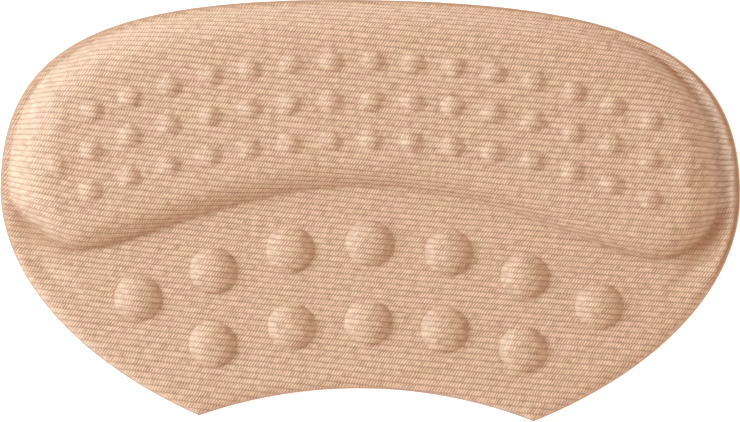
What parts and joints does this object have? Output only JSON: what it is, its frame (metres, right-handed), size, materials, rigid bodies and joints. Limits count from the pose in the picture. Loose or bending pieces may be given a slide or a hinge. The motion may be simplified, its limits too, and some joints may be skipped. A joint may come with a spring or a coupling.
{
  "type": "heel pad",
  "caption": "Kidney-shaped rib-knit heel grip pad with a raised bean-shaped cushion, rows of small and large domed nubs, and a pressed rim",
  "frame": {"origin": "middle of the pad's flat underside, at the centre of its bounding box in plan", "axes": "+X along the pad's length, +Y to the upper side where the cushion is, +Z out of the face away from the shoe's heel counter"},
  "size_m": [0.095, 0.0538, 0.0059],
  "materials": {
    "rib_knit": "matte rib knit with a soft sheen on its slopes",
    "foam": "matte open-cell foam",
    "backing_sheet": "matte pressed sheet with a darker cut edge"
  },
  "bodies": {
    "root": {"knit_cover": "rib_knit", "cushion_foam": "foam", "base_foam": "foam", "backing": "backing_sheet"}
  },
  "joints": []
}
